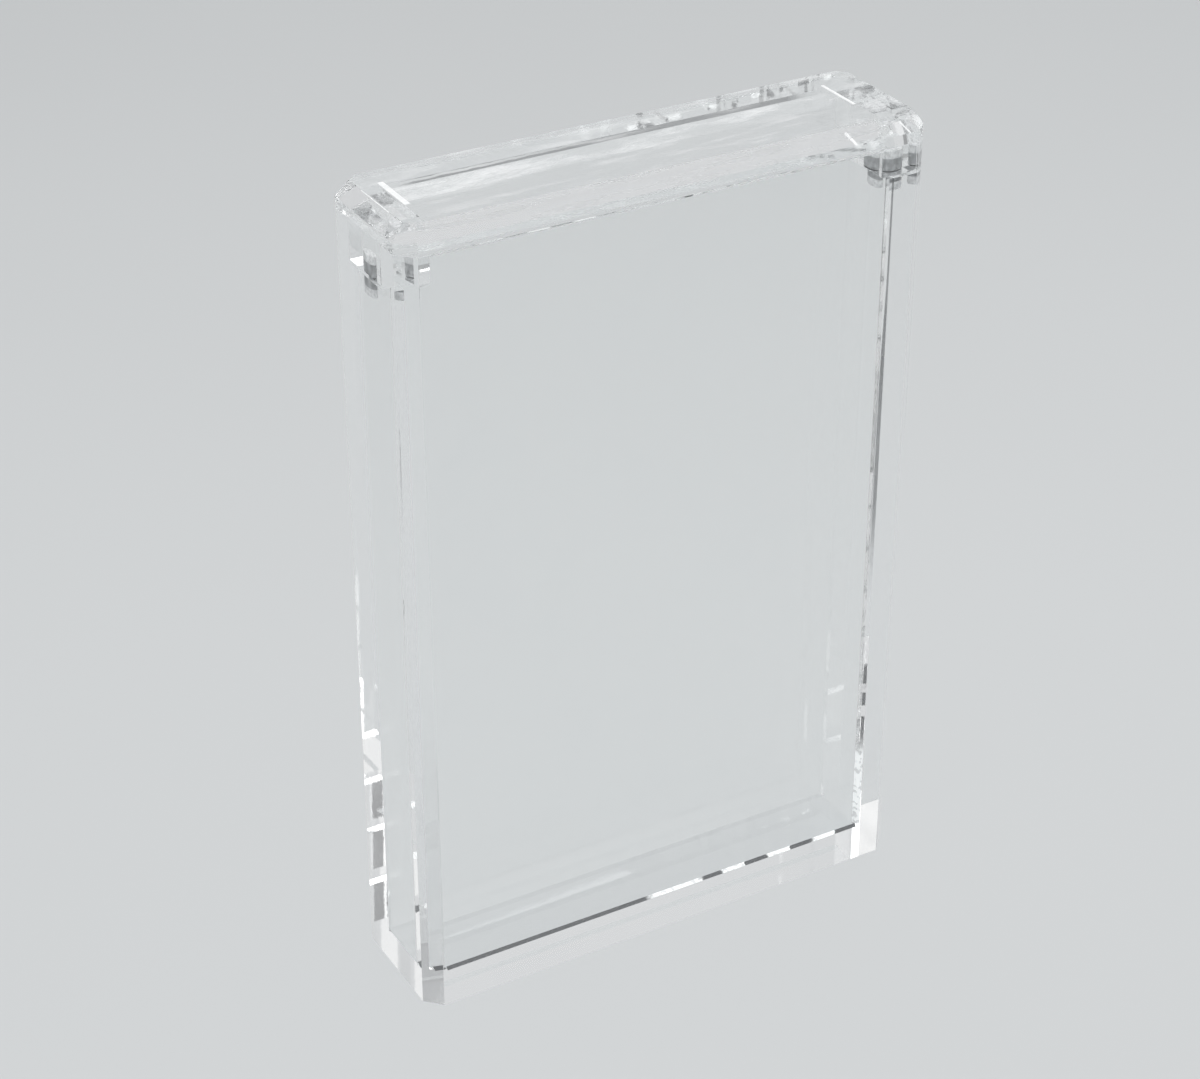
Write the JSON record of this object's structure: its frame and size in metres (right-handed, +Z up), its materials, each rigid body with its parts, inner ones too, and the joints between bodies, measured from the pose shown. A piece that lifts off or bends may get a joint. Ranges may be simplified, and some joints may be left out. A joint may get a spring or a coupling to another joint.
{
  "type": "trading card display case",
  "caption": "Clear acrylic display case for one graded card: an open-topped box of bonded sheets with bevelled corners and a lift-off lid held by magnets.",
  "frame": {"origin": "middle of the underside, on the surface that the case stands on", "axes": "+Z up, from the base plate to the lid; +Y from the front panel to the back panel; +X to the right as seen from the front"},
  "size_m": [0.1, 0.0266, 0.1524],
  "materials": {
    "case_acrylic": "polished clear acrylic sheet",
    "lid_acrylic": "polished clear acrylic with polished bevels",
    "magnet_nickel": "nickel plated"
  },
  "bodies": {
    "case": {"base_plate": "case_acrylic", "front_panel": "case_acrylic", "back_panel": "case_acrylic", "left_wall": "case_acrylic", "right_wall": "case_acrylic", "left_wall_magnet": "magnet_nickel", "right_wall_magnet": "magnet_nickel"},
    "lid": {"lid_plate": "lid_acrylic", "left_lid_block": "lid_acrylic", "right_lid_block": "lid_acrylic", "left_lid_magnet": "magnet_nickel", "right_lid_magnet": "magnet_nickel"}
  },
  "joints": [
    {"name": "lid_lift", "type": "slide", "parent": "case", "child": "lid", "axis": [0, 0, 1], "range_m": [0, 0.06]}
  ]
}
